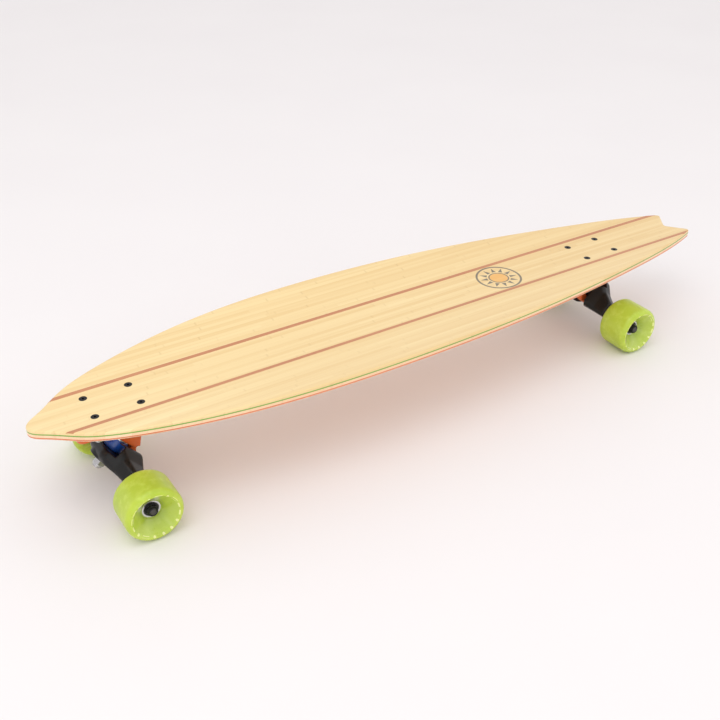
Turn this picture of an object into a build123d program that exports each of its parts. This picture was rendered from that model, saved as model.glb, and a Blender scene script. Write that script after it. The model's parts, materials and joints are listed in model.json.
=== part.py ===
from build123d import *
import os
from math import asin, atan2, cos, hypot, radians, sin, sqrt

# A fish-tail longboard: a glued bamboo deck on two reverse-kingpin trucks with four soft wheels.
# Millimetres.  +X is the nose, +Y the left side, +Z up.  The origin is on the ground, on the
# centreline, halfway between the nose tip and the two tail tips.

# ---- deck outline ----
deck_length = 1011.0
deck_width = 237.5
nose_to_truck = 97.7           # nose tip to the centre of the front bolt pattern
tail_to_truck = 174.7          # tail tips to the centre of the rear bolt pattern
tail_notch_depth = 20.0
tail_notch_round = 6.0
tail_tip_y = 29.0              # centre of each tail tip's round
tail_tip_round = 5.0
tail_side_angle = 21.0         # how fast the sides close in at the tail tips
outline_shape = [              # (share of half the length, share of half the width), tail to nose
    (-0.70, 0.610),
    (-0.30, 0.883),
    (0.18, 1.000),
    (0.50, 0.921),
    (0.80, 0.605),
    (0.90, 0.397),
    (0.966, 0.170),
]

# ---- deck lay-up, from the top face down ----
top_ply_t = 3.6
green_ply_t = 1.6
core_ply_t = 3.4
red_ply_t = 1.6
bottom_ply_t = 1.8
concave_radius = 592.0         # the top face curls up towards both rails on this radius
stringer_y = 36.0
stringer_width = 5.6

# ---- bolt pattern and hardware ----
bolt_pitch_x = 53.975
bolt_pitch_y = 41.275
bolt_d = 4.8
bolt_head_d = 9.4
bolt_head_angle = 90
bolt_hole_gap = 0.25           # radial, round the shank
sink_gap = 0.08                # between the bolt head and its countersink
bolt_key_af = 3.0
bolt_key_depth = 1.6
bolt_nut_af = 9.5
bolt_nut_t = 5.5
bolt_tail = 1.5                # how far a bolt stands out of its nut

# ---- truck ----
riser_t = 6.4
flange_length = 90.0
flange_offset = 7.0            # the flange reaches further towards the board's end
flange_width = 56.0
flange_t = 8.5
flange_round = 9.0
truck_height = 70.0            # axle centre to the top of the baseplate
steer_angle = 50.0             # steering axis above the horizontal
axle_offset = 2.5              # the axle is this far outboard of the bolt pattern's centre
rake = 4.0                     # axle centre to the steering axis
ring_reach = 24.0              # axle to the kingpin, along the steering axis
pivot_rise = 3.0               # axle to the pivot ball, along the steering axis
steer_range = 12.0             # degrees each way

kingpin_d = 9.5
kingpin_in_plate = 22.0
kingpin_tail = 2.0             # stands out of its nut
kingpin_nut_af = 14.3
kingpin_nut_t = 8.5
nut_hex_share = 0.67            # hexagon's share of a lock nut's height
nut_collar_share = 0.94        # collar's width, as a share of the flats
washer_t = 2.0
washer_d = 25.0
road_washer_margin = 0.2       # round the bushing's tip, small enough to clear the cup at full steer
bushing_d = 26.0
board_bushing_h = 14.0
road_bushing_h = 9.0
road_bushing_tip_d = 21.0
press_clearance = 0.05         # radial, where a nut or a plate grips a shank
pin_gap = 0.2                  # kingpin in its bushings, washers and plate

ring_web_t = 8.0
ring_web_offset = -3.0         # middle of the web, from the steering axis, along the kingpin
ring_d = 34.0
cup_gap = 0.5                  # bushing in the hanger's cup, radial
cup_depth = 9.5
web_hole_d = 14.0
# each wing section: distance from the middle, then its inner and outer faces along the kingpin
# and its lower and upper faces along the steering axis, all from the axis foot
wing_sections = [
    (15.0, -24.0, 9.5, -8.0, 42.0),
    (23.0, -21.5, 9.4, -8.0, 39.0),
    (35.0, -14.5, 9.2, -8.0, 25.5),
    (50.0, -10.5, 9.0, -8.0, 16.0),
    (60.0, -4.0, 11.5, -7.7, 7.7),
]
relief_depth = 14.0            # notch in the wings beside the board-side bushing, along the kingpin
relief_low = 9.0               # its floor, below the kingpin
relief_reach = 29.0            # how far its flanks run out and up at 45 degrees
wing_corner = 0.3              # corner round, as a share of the section's shorter side
arm_d = 15.0
hanger_half = 73.0
pocket_gap = 1.2               # hanger to baseplate at full steer
stub_start_y = 12.0            # inner end of each stub axle

pivot_ball_d = 7.5
pivot_neck_d = 5.6
pivot_gap = 0.15
pivot_cup_t = 1.4
housing_wall = 1.6
leg_width = 20.0               # leg from the wedge down to the pivot housing
leg_end_k = -9.0               # the full width stops here, short of the steering axis
neck_width = 10.0              # from there to the housing
wedge_width = 26.0
wedge_top_width = 29.0         # where the wedge's flanks meet the flange, between the deck nuts
wedge_top_length = 30.0
wedge_front_run = 16.0         # the wedge's sloping front, from the seat's top to the flange
flank_foot = 6.0               # length of the flanks' lower ends, and their height over the seat
seat_margin = 1.5              # seat past the washer's edge
leg_root_inset = 8.0           # leg's back, in from the flange's inner end
plate_chamfer = 1.2
bushing_chamfer = 1.2
pin_chamfer = 0.8

# ---- axle and bearings ----
axle_d = 7.9
axle_hole_gap = 0.03
axle_tail = 0.5                # stands out of its nut
speed_washer_d = 12.5
speed_washer_t = 1.0
axle_nut_af = 12.7
axle_nut_t = 6.0
bearing_bore = 8.0
bearing_d = 22.0
bearing_width = 7.0
bearing_gap = 10.0             # between the two bearings of a wheel
inner_race_d = 12.0
outer_race_bore = 18.4
ball_count = 7
ball_d = 3.9
race_ball_gap = 0.08
shield_t = 0.4
shield_gap = 0.35
shield_depth = 0.3             # shields stand this far inside the races' ends
spacer_d = 10.4

# ---- wheel ----
wheel_d = 69.0
wheel_width = 49.4
wheel_inset = 8.0              # the hanger's end reaches this far into the wheel's inner dish
wheel_lip_round = 8.0
wheel_lip_d = 53.0             # where each side face stands proudest
core_bore_d = 19.2
dish_mouth_d = 25.0
inner_dish_d = 30.0
inner_dish_swell = 3.0         # how far the inner face has fallen at the dish's edge
outer_dish_swell = 2.6         # how far the outer dish bulges out of a straight cone
mouth_step = 1.0               # from the bearing seat out to the dish

# ---- worked out from the sizes above ----
wheel_radius = wheel_d / 2
axle_z = wheel_radius
plate_top_z = axle_z + truck_height
deck_bottom_z = plate_top_z + riser_t
ply_sizes = [top_ply_t, green_ply_t, core_ply_t, red_ply_t, bottom_ply_t]
deck_t = sum(ply_sizes)
deck_top_z = deck_bottom_z + deck_t
curl_centre_z = deck_top_z + concave_radius
front_truck_x = deck_length / 2 - nose_to_truck
rear_truck_x = tail_to_truck - deck_length / 2
truck_places = {
    "front": Location((front_truck_x, 0, 0)),
    "rear": Location((rear_truck_x, 0, 0), (0, 0, 180)),
}
bolt_top_z = deck_top_z + (bolt_pitch_y / 2) ** 2 / (2 * concave_radius)
flange_bottom_z = plate_top_z - flange_t

os.makedirs("parts", exist_ok=True)


def save(piece, name):
    """Labels a finished piece and writes it to its own file."""
    piece.part.label = name
    export_step(piece.part, f"parts/{name}.step")


def save_on_trucks(part, name):
    """Puts a piece drawn in the truck's own frame under both ends of the deck.

    In that frame the origin is on the ground under the bolt pattern and +X points to the board's end.
    """
    for end, place in truck_places.items():
        with BuildPart() as piece:
            with Locations(place):
                add(part)
        save(piece, f"{end}_{name}")


# ================================ deck ================================
half_length = deck_length / 2
half_width = deck_width / 2
tip_x = tail_tip_round - half_length
notch_x = tail_notch_depth - half_length
notch_to_tip = hypot(tip_x - notch_x, tail_tip_y)
notch_line = sqrt(notch_to_tip**2 - tail_tip_round**2)
notch_angle = atan2(tail_tip_y, tip_x - notch_x) + asin(tail_tip_round / notch_to_tip)
notch_end = (notch_x + notch_line * cos(notch_angle), notch_line * sin(notch_angle))
side_turn = radians(90 + tail_side_angle)
tip_side = (tip_x + tail_tip_round * cos(side_turn), tail_tip_y + tail_tip_round * sin(side_turn))

with BuildSketch() as outline:
    with BuildLine():
        side_points = [(u * half_length, v * half_width) for u, v in outline_shape]
        Spline(
            tip_side,
            *side_points,
            (half_length, 0),
            tangents=[(cos(radians(tail_side_angle)), sin(radians(tail_side_angle))), (0, -1)],
        )
        ThreePointArc(tip_side, (-half_length, tail_tip_y), notch_end)
        Line(notch_end, (notch_x, 0))
        mirror(about=Plane.XZ)
    make_face()
    fillet(outline.vertices().filter_by_position(Axis.X, notch_x - 1, notch_x + 1), tail_notch_round)


def curl_band(depth, thickness):
    """Draws the ring between two depths below the curled top face, in a plane across the board."""
    with Locations((0, curl_centre_z)):
        Circle(concave_radius + depth + thickness)
        Circle(concave_radius + depth, mode=Mode.SUBTRACT)


with BuildPart() as blank:
    with BuildSketch(Plane.XY.offset(deck_bottom_z - 1)):
        add(outline.sketch)
    extrude(amount=deck_t + half_width**2 / concave_radius)
    with BuildSketch(Plane.YZ):
        curl_band(0, deck_t)
    extrude(amount=half_length, both=True, mode=Mode.INTERSECT)

bolt_spots = [
    Location((truck_x + sx * bolt_pitch_x / 2, sy * bolt_pitch_y / 2, bolt_top_z))
    for truck_x in (front_truck_x, rear_truck_x)
    for sx in (-1, 1)
    for sy in (-1, 1)
]


def ply(depth, thickness):
    """Cuts one curled layer out of the shaped blank and bores it for the truck bolts."""
    with BuildPart() as layer:
        add(blank.part)
        with BuildSketch(Plane.YZ):
            curl_band(depth, thickness)
        extrude(amount=half_length, both=True, mode=Mode.INTERSECT)
        with Locations(*bolt_spots):
            CounterSinkHole(
                bolt_d / 2 + bolt_hole_gap,
                bolt_head_d / 2 + sink_gap,
                deck_t * 3,
                bolt_head_angle,
            )
    return layer.part


def stringer_strips():
    """Draws the two strips in plan."""
    with Locations((0, stringer_y), (0, -stringer_y)):
        Rectangle(deck_length, stringer_width)


top_sheet = ply(0, top_ply_t)

with BuildPart() as stringers:
    with BuildSketch(Plane.XY.offset(deck_bottom_z)):
        stringer_strips()
    extrude(amount=deck_t * 3)
    add(top_sheet, mode=Mode.INTERSECT)
save(stringers, "stringers")

with BuildPart() as top_ply:
    add(top_sheet)
    with BuildSketch(Plane.XY.offset(deck_bottom_z)):
        stringer_strips()
    extrude(amount=deck_t * 3, mode=Mode.SUBTRACT)
save(top_ply, "top_ply")

lower_plies = {
    "green_ply": (top_ply_t, green_ply_t),
    "core_ply": (top_ply_t + green_ply_t, core_ply_t),
    "red_ply": (top_ply_t + green_ply_t + core_ply_t, red_ply_t),
    "bottom_ply": (deck_t - bottom_ply_t, bottom_ply_t),
}
for ply_name, (ply_depth, ply_t) in lower_plies.items():
    with BuildPart() as lower_ply:
        add(ply(ply_depth, ply_t))
    save(lower_ply, ply_name)

# ===================== truck frame: axes and planes =====================
steer = radians(steer_angle)
along_axis = Vector(cos(steer), 0, sin(steer))        # up and outboard, pivot to ring
along_pin = Vector(sin(steer), 0, -cos(steer))        # down and outboard, deck to nut
axle_centre = Vector(axle_offset, 0, axle_z)
axis_foot = axle_centre - along_pin * rake
ring_centre = axis_foot + along_axis * ring_reach
web_middle = ring_centre + along_pin * ring_web_offset

# drawn on this plane, x runs along the kingpin and y along the steering axis, from the axis foot
profile = Plane(origin=axis_foot, x_dir=along_pin, z_dir=(0, -1, 0))
steer_axis = Axis(axis_foot, along_axis)
# square to the kingpin, at the middle of the web
web_plane = Plane(origin=web_middle, x_dir=(0, 1, 0), z_dir=along_pin)
# square to the steering axis: x runs along the kingpin, y across the board
cross_plane = Plane(origin=axis_foot, x_dir=along_pin, z_dir=along_axis)

web_half = ring_web_t / 2
seat_t = -web_half - board_bushing_h - washer_t         # baseplate seat, along the kingpin
road_washer_t = web_half + road_bushing_h
nut_start_t = road_washer_t + washer_t


def sleeve(plane, inner_r, outer_r, start, end):
    """A plain ring round the plane's normal, from start to end along it."""
    with BuildPart() as ring:
        with BuildSketch(plane.offset(start)):
            Circle(outer_r)
            Circle(inner_r, mode=Mode.SUBTRACT)
        extrude(amount=end - start)
    return ring.part


def lock_nut(plane, across_flats, thickness, bore_r):
    """A nylon-insert lock nut: a hexagon for two thirds, then a round collar, with a plain bore."""
    hex_t = thickness * nut_hex_share
    with BuildPart() as nut:
        with BuildSketch(plane):
            RegularPolygon(across_flats / 2, 6, major_radius=False)
        extrude(amount=hex_t)
        with BuildSketch(plane.offset(hex_t)):
            Circle(across_flats / 2 * nut_collar_share)
        extrude(amount=thickness - hex_t)
        with BuildSketch(plane):
            Circle(bore_r)
        extrude(amount=thickness, mode=Mode.SUBTRACT)
    return nut.part


# ============================ deck hardware ============================
pattern_spots = GridLocations(bolt_pitch_x, bolt_pitch_y, 2, 2).locations

with BuildPart() as riser_pad:
    with BuildSketch(Plane.XY.offset(plate_top_z)):
        with Locations((flange_offset, 0)):
            RectangleRounded(flange_length, flange_width, flange_round)
        with Locations(*pattern_spots):
            Circle(bolt_d / 2 + bolt_hole_gap, mode=Mode.SUBTRACT)
    extrude(amount=riser_t + flange_width**2 / concave_radius)
    with BuildSketch(Plane.YZ):
        with Locations((0, curl_centre_z)):
            Circle(concave_radius + deck_t)
    extrude(amount=flange_length, both=True, mode=Mode.SUBTRACT)
save_on_trucks(riser_pad.part, "riser_pad")

bolt_end_z = flange_bottom_z - bolt_nut_t - bolt_tail
head_depth = (bolt_head_d - bolt_d) / 2
with BuildPart() as deck_bolts:
    for spot in pattern_spots:
        x, y = spot.position.X, spot.position.Y
        shank_r = bolt_d / 2
        with BuildSketch(Plane(origin=(x, y, bolt_top_z), x_dir=(1, 0, 0), z_dir=(0, -1, 0))):
            with BuildLine():
                Polyline(
                    (0, 0),
                    (bolt_head_d / 2, 0),
                    (shank_r, -head_depth),
                    (shank_r, bolt_end_z - bolt_top_z),
                    (0, bolt_end_z - bolt_top_z),
                    close=True,
                )
            make_face()
        revolve(axis=Axis((x, y, 0), (0, 0, 1)))
    with BuildSketch(Plane.XY.offset(bolt_top_z)):
        with Locations(*pattern_spots):
            RegularPolygon(bolt_key_af / 2, 6, major_radius=False)
    extrude(amount=-bolt_key_depth, mode=Mode.SUBTRACT)
save_on_trucks(deck_bolts.part, "deck_bolts")


nut_down = Plane(origin=(0, 0, flange_bottom_z), x_dir=(1, 0, 0), z_dir=(0, 0, -1))
bolt_nut = lock_nut(nut_down, bolt_nut_af, bolt_nut_t, bolt_d / 2 + press_clearance)
with BuildPart() as deck_nuts:
    with Locations(*pattern_spots):
        add(bolt_nut)
save_on_trucks(deck_nuts.part, "deck_nuts")

# ============================== baseplate ==============================
cup_r = pivot_ball_d / 2 + pivot_gap + pivot_cup_t
housing_r = cup_r + housing_wall
cup_bottom = pivot_rise - cup_r
cup_mouth = pivot_rise + pivot_ball_d / 2 - 0.8
housing_bottom = cup_bottom - housing_wall
seat_k = ring_web_offset + seat_t
seat_low = ring_reach - washer_d / 2 - seat_margin
seat_high = ring_reach + washer_d / 2 + seat_margin
leg_back = [(-16.0, -4.0), (-23.6, 3.4), (-28.5, 2.5)]
flange_inner_x = flange_offset - flange_length / 2


def on_profile(k, a):
    """The x and z of a point given along the kingpin and along the steering axis."""
    point = axis_foot + along_pin * k + along_axis * a
    return (point.X, point.Z)


seat_bottom = on_profile(seat_k, seat_low)
seat_top = on_profile(seat_k, seat_high)
root_z = flange_bottom_z + plate_chamfer

with BuildPart() as baseplate:
    with BuildSketch(Plane.XY.offset(flange_bottom_z)):
        with Locations((flange_offset, 0)):
            RectangleRounded(flange_length, flange_width, flange_round)
    extrude(amount=flange_t)
    chamfer(baseplate.faces().sort_by(Axis.Z)[0].edges(), plate_chamfer)
    # the wedge that carries the kingpin's seat
    with BuildSketch(Plane.XZ):
        with BuildLine():
            Polyline(
                (seat_top[0] + wedge_front_run, root_z),
                seat_top,
                seat_bottom,
                on_profile(*leg_back[-1]),
                (-wedge_top_length, root_z),
                close=True,
            )
        make_face()
    extrude(amount=wedge_width / 2, both=True)
    # the leg from the wedge down to the pivot
    with BuildSketch(Plane.XZ):
        with BuildLine():
            Polyline(
                seat_bottom,
                on_profile(leg_end_k, cup_mouth),
                on_profile(leg_end_k, housing_bottom + 0.7),
                *[on_profile(k, a) for k, a in leg_back],
                (flange_inner_x + leg_root_inset, root_z),
                (-wedge_top_length / 2, root_z),
                close=True,
            )
        make_face()
    extrude(amount=leg_width / 2, both=True)
    # flanks that widen the wedge under the flange, behind the hanger's wings
    with BuildSketch(Plane.XY.offset(flange_bottom_z)):
        with Locations((-wedge_top_length / 2, 0)):
            Rectangle(wedge_top_length, wedge_top_width)
    with BuildSketch(Plane.XY.offset(seat_bottom[1] + flank_foot)):
        with Locations((seat_bottom[0] - flank_foot / 2, 0)):
            Rectangle(flank_foot, wedge_width)
    loft()
    # neck and housing for the pivot cup, on the steering axis
    with BuildSketch(Plane.XZ):
        with BuildLine():
            Polyline(
                on_profile(leg_end_k - 1, cup_mouth - 0.5),
                on_profile(0, cup_mouth - 1),
                on_profile(0, cup_bottom),
                on_profile(leg_end_k - 1, housing_bottom + 1),
                close=True,
            )
        make_face()
    extrude(amount=neck_width / 2, both=True)
    with BuildSketch(cross_plane.offset(housing_bottom)):
        Circle(housing_r)
    extrude(amount=cup_mouth - housing_bottom)
    with BuildSketch(cross_plane.offset(cup_bottom)):
        Circle(cup_r)
    extrude(amount=cup_mouth - cup_bottom + ring_reach, mode=Mode.SUBTRACT)
    with BuildSketch(web_plane.offset(seat_t)):
        Circle(kingpin_d / 2 + press_clearance)
    extrude(amount=-kingpin_in_plate, mode=Mode.SUBTRACT)
    with Locations(*[Location((s.position.X, s.position.Y, plate_top_z)) for s in pattern_spots]):
        Hole(bolt_d / 2 + bolt_hole_gap, depth=flange_t)
save_on_trucks(baseplate.part, "baseplate")

# ============================ steering stack ============================
with BuildPart() as pivot_cup:
    with BuildSketch(cross_plane.offset(cup_bottom)):
        Circle(cup_r)
    extrude(amount=cup_mouth - cup_bottom)
    with BuildSketch(profile):
        with BuildLine():
            ball_r = pivot_ball_d / 2 + pivot_gap
            Polyline((0, cup_mouth), (0, pivot_rise - ball_r))
            ThreePointArc(
                (0, pivot_rise - ball_r),
                (ball_r * cos(radians(45)), pivot_rise - ball_r * sin(radians(45))),
                (ball_r, pivot_rise),
            )
            Polyline((ball_r, pivot_rise), (ball_r, cup_mouth), (0, cup_mouth))
        make_face()
    revolve(axis=steer_axis, mode=Mode.SUBTRACT)
save_on_trucks(pivot_cup.part, "pivot_cup")

pin_r = kingpin_d / 2
pin_end_t = nut_start_t + kingpin_nut_t + kingpin_tail
with BuildPart() as kingpin:
    with BuildSketch(web_plane.offset(seat_t - kingpin_in_plate)):
        Circle(pin_r)
    extrude(amount=pin_end_t - seat_t + kingpin_in_plate)
    chamfer(kingpin.edges().filter_by(GeomType.CIRCLE), pin_chamfer)
save_on_trucks(kingpin.part, "kingpin")

board_washer = sleeve(web_plane, pin_r + pin_gap, washer_d / 2, seat_t, seat_t + washer_t)
save_on_trucks(board_washer, "board_washer")
nut_plane = web_plane.offset(nut_start_t)
kingpin_nut = lock_nut(nut_plane, kingpin_nut_af, kingpin_nut_t, pin_r + press_clearance)
save_on_trucks(kingpin_nut, "kingpin_nut")

with BuildPart() as board_bushing:
    add(sleeve(web_plane, pin_r + pin_gap, bushing_d / 2, -web_half - board_bushing_h, -web_half))
    outer_edges = board_bushing.edges().filter_by(GeomType.CIRCLE).group_by(SortBy.RADIUS)[-1]
    chamfer(outer_edges, bushing_chamfer)
save_on_trucks(board_bushing.part, "board_bushing")

with BuildPart() as road_bushing:
    with BuildSketch(web_plane.offset(web_half)):
        Circle(bushing_d / 2)
    with BuildSketch(web_plane.offset(road_washer_t)):
        Circle(road_bushing_tip_d / 2)
    loft()
    with BuildSketch(web_plane.offset(web_half)):
        Circle(pin_r + pin_gap)
    extrude(amount=road_bushing_h, mode=Mode.SUBTRACT)
save_on_trucks(road_bushing.part, "road_bushing")

with BuildPart() as road_washer:
    washer_r = road_bushing_tip_d / 2 + road_washer_margin
    add(sleeve(web_plane, pin_r + pin_gap, washer_r, road_washer_t, nut_start_t))
    rim = road_washer.edges().filter_by(GeomType.CIRCLE).group_by(SortBy.RADIUS)[-1]
    chamfer(rim.sort_by(Axis.Z)[0], pin_chamfer)
save_on_trucks(road_washer.part, "road_washer")

# =============================== hanger ===============================
swing = sin(radians(steer_range))
root_y, root_inner, root_outer, root_low, root_high = wing_sections[0]
pocket_start = ring_web_offset - web_half
pocket_end = root_inner - 10
pocket_near = wedge_width / 2 + pocket_gap + swing * abs(pocket_start)
pocket_far = wedge_width / 2 + pocket_gap + swing * abs(pocket_end)
cup_rim = web_half + cup_depth
ring_low = ring_reach - ring_d / 2
nose_root = ring_low + 3


def wing_section(inner, outer, low, high):
    """A rounded rectangle between four limits on the profile plane."""
    width = outer - inner
    height = high - low
    with Locations(((inner + outer) / 2, (low + high) / 2)):
        RectangleRounded(width, height, min(width, height) * wing_corner)


with BuildPart() as hanger:
    # one wing, from the broad root out to the round arm
    for y, inner, outer, low, high in wing_sections:
        with BuildSketch(profile.offset(-y)):
            wing_section(inner, outer, low, high)
    loft(ruled=True)
    with BuildSketch(profile.offset(-wing_sections[-1][0])):
        with Locations((rake, 0)):
            Circle(arm_d / 2)
    extrude(amount=wing_sections[-1][0] - hanger_half)
    # middle block between the wings
    with BuildSketch(profile):
        wing_section(root_inner, root_outer, root_low, root_high)
    extrude(amount=-root_y)
    mirror(about=Plane.XZ)
    # pocket for the wedge, the leg and the board-side bushing
    with BuildSketch(cross_plane.offset(root_low - 10)):
        with BuildLine():
            Polyline(
                (pocket_start, pocket_near),
                (pocket_end, pocket_far),
                (pocket_end, -pocket_far),
                (pocket_start, -pocket_near),
                close=True,
            )
        make_face()
    extrude(amount=root_high - root_low + 20, mode=Mode.SUBTRACT)
    # notch that lays the board-side bushing open between the wings
    relief_half = bushing_d / 2
    relief_top = root_high - ring_reach + 5
    with BuildSketch(web_plane.offset(-web_half)):
        with BuildLine():
            Polyline(
                (-relief_half, -relief_low),
                (relief_half, -relief_low),
                (relief_half + relief_reach, relief_reach - relief_low),
                (relief_half + relief_reach, relief_top),
                (-relief_half - relief_reach, relief_top),
                (-relief_half - relief_reach, relief_reach - relief_low),
                close=True,
            )
        make_face()
    extrude(amount=-relief_depth, mode=Mode.SUBTRACT)
    # room under the ring for the pivot housing, its neck and the end of the leg
    with BuildSketch(cross_plane.offset(root_low - 10)):
        Circle(housing_r + pocket_gap)
        with Locations((leg_end_k / 2 - 0.5, 0)):
            Rectangle(abs(leg_end_k) - 1, neck_width + 7)
        with Locations((leg_end_k + 2, 0)):
            Rectangle(5, leg_width + 6)
    extrude(amount=ring_low - root_low + 10, mode=Mode.SUBTRACT)
    # ring round the kingpin, with a cup for the road-side bushing
    with BuildSketch(web_plane.offset(-web_half)):
        Circle(ring_d / 2)
    extrude(amount=web_half + cup_rim)
    with BuildSketch(web_plane.offset(web_half)):
        Circle(bushing_d / 2 + cup_gap)
    extrude(amount=cup_depth + ring_d, mode=Mode.SUBTRACT)
    with BuildSketch(web_plane.offset(-web_half)):
        Circle(web_hole_d / 2)
    extrude(amount=ring_web_t, mode=Mode.SUBTRACT)
    # pivot nose
    with BuildSketch(profile):
        with BuildLine():
            ball_r = pivot_ball_d / 2
            neck_r = pivot_neck_d / 2
            neck_start = pivot_rise + sqrt(ball_r**2 - neck_r**2)
            Polyline((0, nose_root), (0, pivot_rise - ball_r))
            ThreePointArc((0, pivot_rise - ball_r), (ball_r, pivot_rise), (neck_r, neck_start))
            Polyline((neck_r, neck_start), (neck_r, nose_root), (0, nose_root))
        make_face()
    revolve(axis=steer_axis)
    for y_side in (1, -1):
        with BuildSketch(Plane.XZ.offset(-y_side * stub_start_y)):
            with Locations((axle_offset, axle_z)):
                Circle(axle_d / 2 + axle_hole_gap)
        extrude(amount=-y_side * hanger_half, mode=Mode.SUBTRACT)
save_on_trucks(hanger.part, "hanger")

# =========================== axle and wheels ===========================
bearing_start = hanger_half + speed_washer_t
bearing_stack = 2 * bearing_width + bearing_gap
nut_start = bearing_start + bearing_stack + speed_washer_t
axle_half = nut_start + axle_nut_t + axle_tail
bearing_starts = (bearing_start, bearing_start + bearing_width + bearing_gap)
axle_r = axle_d / 2
axle_axis = Axis(axle_centre, (0, 1, 0))
sides = {"left": 1, "right": -1}


def outward(side):
    """A plane on the axle's centre whose normal points out along the axle on one side."""
    return Plane(origin=axle_centre, x_dir=(1, 0, 0), z_dir=(0, side, 0))


def wheel_profile(side):
    """A plane through the axle: x is the radius and y runs outwards along the axle."""
    return Plane(origin=axle_centre, x_dir=(1, 0, 0), z_dir=(0, 0, side))


def both_sides(rings):
    """Rings round the axle, each given as inner radius, outer radius, start and end, on both sides."""
    with BuildPart() as pieces:
        for side in sides.values():
            for inner_r, outer_r, start, end in rings:
                add(sleeve(outward(side), inner_r, outer_r, start, end))
    return pieces.part


with BuildPart() as stub_axles:
    for side in sides.values():
        with BuildSketch(outward(side).offset(stub_start_y)):
            Circle(axle_r)
        extrude(amount=axle_half - stub_start_y)
    chamfer(stub_axles.edges().filter_by(GeomType.CIRCLE), pin_chamfer)
save_on_trucks(stub_axles.part, "stub_axles")

bore_r = bearing_bore / 2
speed_washers = both_sides([
    (bore_r, speed_washer_d / 2, hanger_half, bearing_start),
    (bore_r, speed_washer_d / 2, nut_start - speed_washer_t, nut_start),
])
save_on_trucks(speed_washers, "speed_washers")
bearing_spacers = both_sides([
    (bore_r, spacer_d / 2, bearing_start + bearing_width, bearing_starts[1]),
])
save_on_trucks(bearing_spacers, "bearing_spacers")
with BuildPart() as axle_nuts:
    for side in sides.values():
        add(lock_nut(outward(side).offset(nut_start), axle_nut_af, axle_nut_t, axle_r + press_clearance))
save_on_trucks(axle_nuts.part, "axle_nuts")

ball_track_r = (inner_race_d + outer_race_bore) / 4
groove_r = ball_d / 2 + race_ball_gap


def grooved_races(side, inner_r, outer_r):
    """The inner or the outer races of one wheel's two bearings, each with its ball groove."""
    with BuildPart() as races:
        for start in bearing_starts:
            add(sleeve(outward(side), inner_r, outer_r, start, start + bearing_width))
        for start in bearing_starts:
            with BuildSketch(wheel_profile(side)):
                with Locations((ball_track_r, start + bearing_width / 2)):
                    Circle(groove_r)
            revolve(axis=axle_axis, mode=Mode.SUBTRACT)
    return races.part


with BuildPart() as inner_races:
    for side in sides.values():
        add(grooved_races(side, bearing_bore / 2, inner_race_d / 2))
save_on_trucks(inner_races.part, "bearing_inner_races")

wheel_inner_y = hanger_half - wheel_inset
wheel_outer_y = wheel_inner_y + wheel_width
lip_r = wheel_lip_d / 2


def wheel_on(side):
    """One urethane wheel: a flat tread, round lips, dished faces and a bore with two bearing seats."""
    seat_r = bearing_d / 2
    core_r = core_bore_d / 2
    first, second = bearing_starts
    stack_end = second + bearing_width
    lip_side = wheel_lip_round * sin(radians(45))
    lip_x = wheel_radius - wheel_lip_round
    with BuildPart() as wheel:
        with BuildSketch(wheel_profile(side)):
            with BuildLine():
                Polyline(
                    (inner_dish_d / 2, first - speed_washer_t),
                    (seat_r, first - speed_washer_t),
                    (seat_r, first + bearing_width),
                    (core_r, first + bearing_width),
                    (core_r, second),
                    (seat_r, second),
                    (seat_r, stack_end),
                    (dish_mouth_d / 2, stack_end + mouth_step),
                )
                Spline(
                    (dish_mouth_d / 2, stack_end + mouth_step),
                    ((dish_mouth_d / 2 + lip_r) / 2, (stack_end + wheel_outer_y) / 2 + outer_dish_swell),
                    (lip_x, wheel_outer_y),
                    tangents=[(0.35, 1.0), (1, 0)],
                )
                ThreePointArc(
                    (lip_x, wheel_outer_y),
                    (lip_x + lip_side, wheel_outer_y - wheel_lip_round + lip_side),
                    (wheel_radius, wheel_outer_y - wheel_lip_round),
                )
                Line(
                    (wheel_radius, wheel_outer_y - wheel_lip_round),
                    (wheel_radius, wheel_inner_y + wheel_lip_round),
                )
                ThreePointArc(
                    (wheel_radius, wheel_inner_y + wheel_lip_round),
                    (lip_x + lip_side, wheel_inner_y + wheel_lip_round - lip_side),
                    (lip_x, wheel_inner_y),
                )
                Spline(
                    (lip_x, wheel_inner_y),
                    (inner_dish_d / 2 + mouth_step, wheel_inner_y + inner_dish_swell),
                    (inner_dish_d / 2, first - speed_washer_t),
                    tangents=[(-1, 0), (-0.1, 1)],
                )
            make_face()
        revolve(axis=axle_axis)
    return wheel.part


shield_rings = []
outer_bore_r = outer_race_bore / 2
shield_inner_r = inner_race_d / 2 + shield_gap
for start in bearing_starts:
    shield_rings.append((shield_inner_r, outer_bore_r, start + shield_depth, start + shield_depth + shield_t))
    last = start + bearing_width - shield_depth
    shield_rings.append((shield_inner_r, outer_bore_r, last - shield_t, last))

for end, place in truck_places.items():
    for side_name, side in sides.items():
        # turning the rear truck round swaps its left and right
        local_side = side if end == "front" else -side
        with BuildPart() as wheel_piece:
            with Locations(place):
                add(wheel_on(local_side))
        save(wheel_piece, f"{end}_{side_name}_wheel")
        with BuildPart() as outer_races:
            with Locations(place):
                add(grooved_races(local_side, outer_bore_r, bearing_d / 2))
        save(outer_races, f"{end}_{side_name}_bearing_outer_races")
        with BuildPart() as shields:
            with Locations(place):
                for inner_r, outer_r, start, stop in shield_rings:
                    add(sleeve(outward(local_side), inner_r, outer_r, start, stop))
        save(shields, f"{end}_{side_name}_bearing_shields")
        with BuildPart() as balls:
            with Locations(place):
                for start in bearing_starts:
                    ring_plane = outward(local_side).offset(start + bearing_width / 2)
                    with Locations(ring_plane):
                        with PolarLocations(ball_track_r, ball_count):
                            Sphere(ball_d / 2)
        save(balls, f"{end}_{side_name}_bearing_balls")
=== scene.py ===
import json
import math

import bmesh
import bpy
import numpy as np
from mathutils import Matrix, Vector


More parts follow.
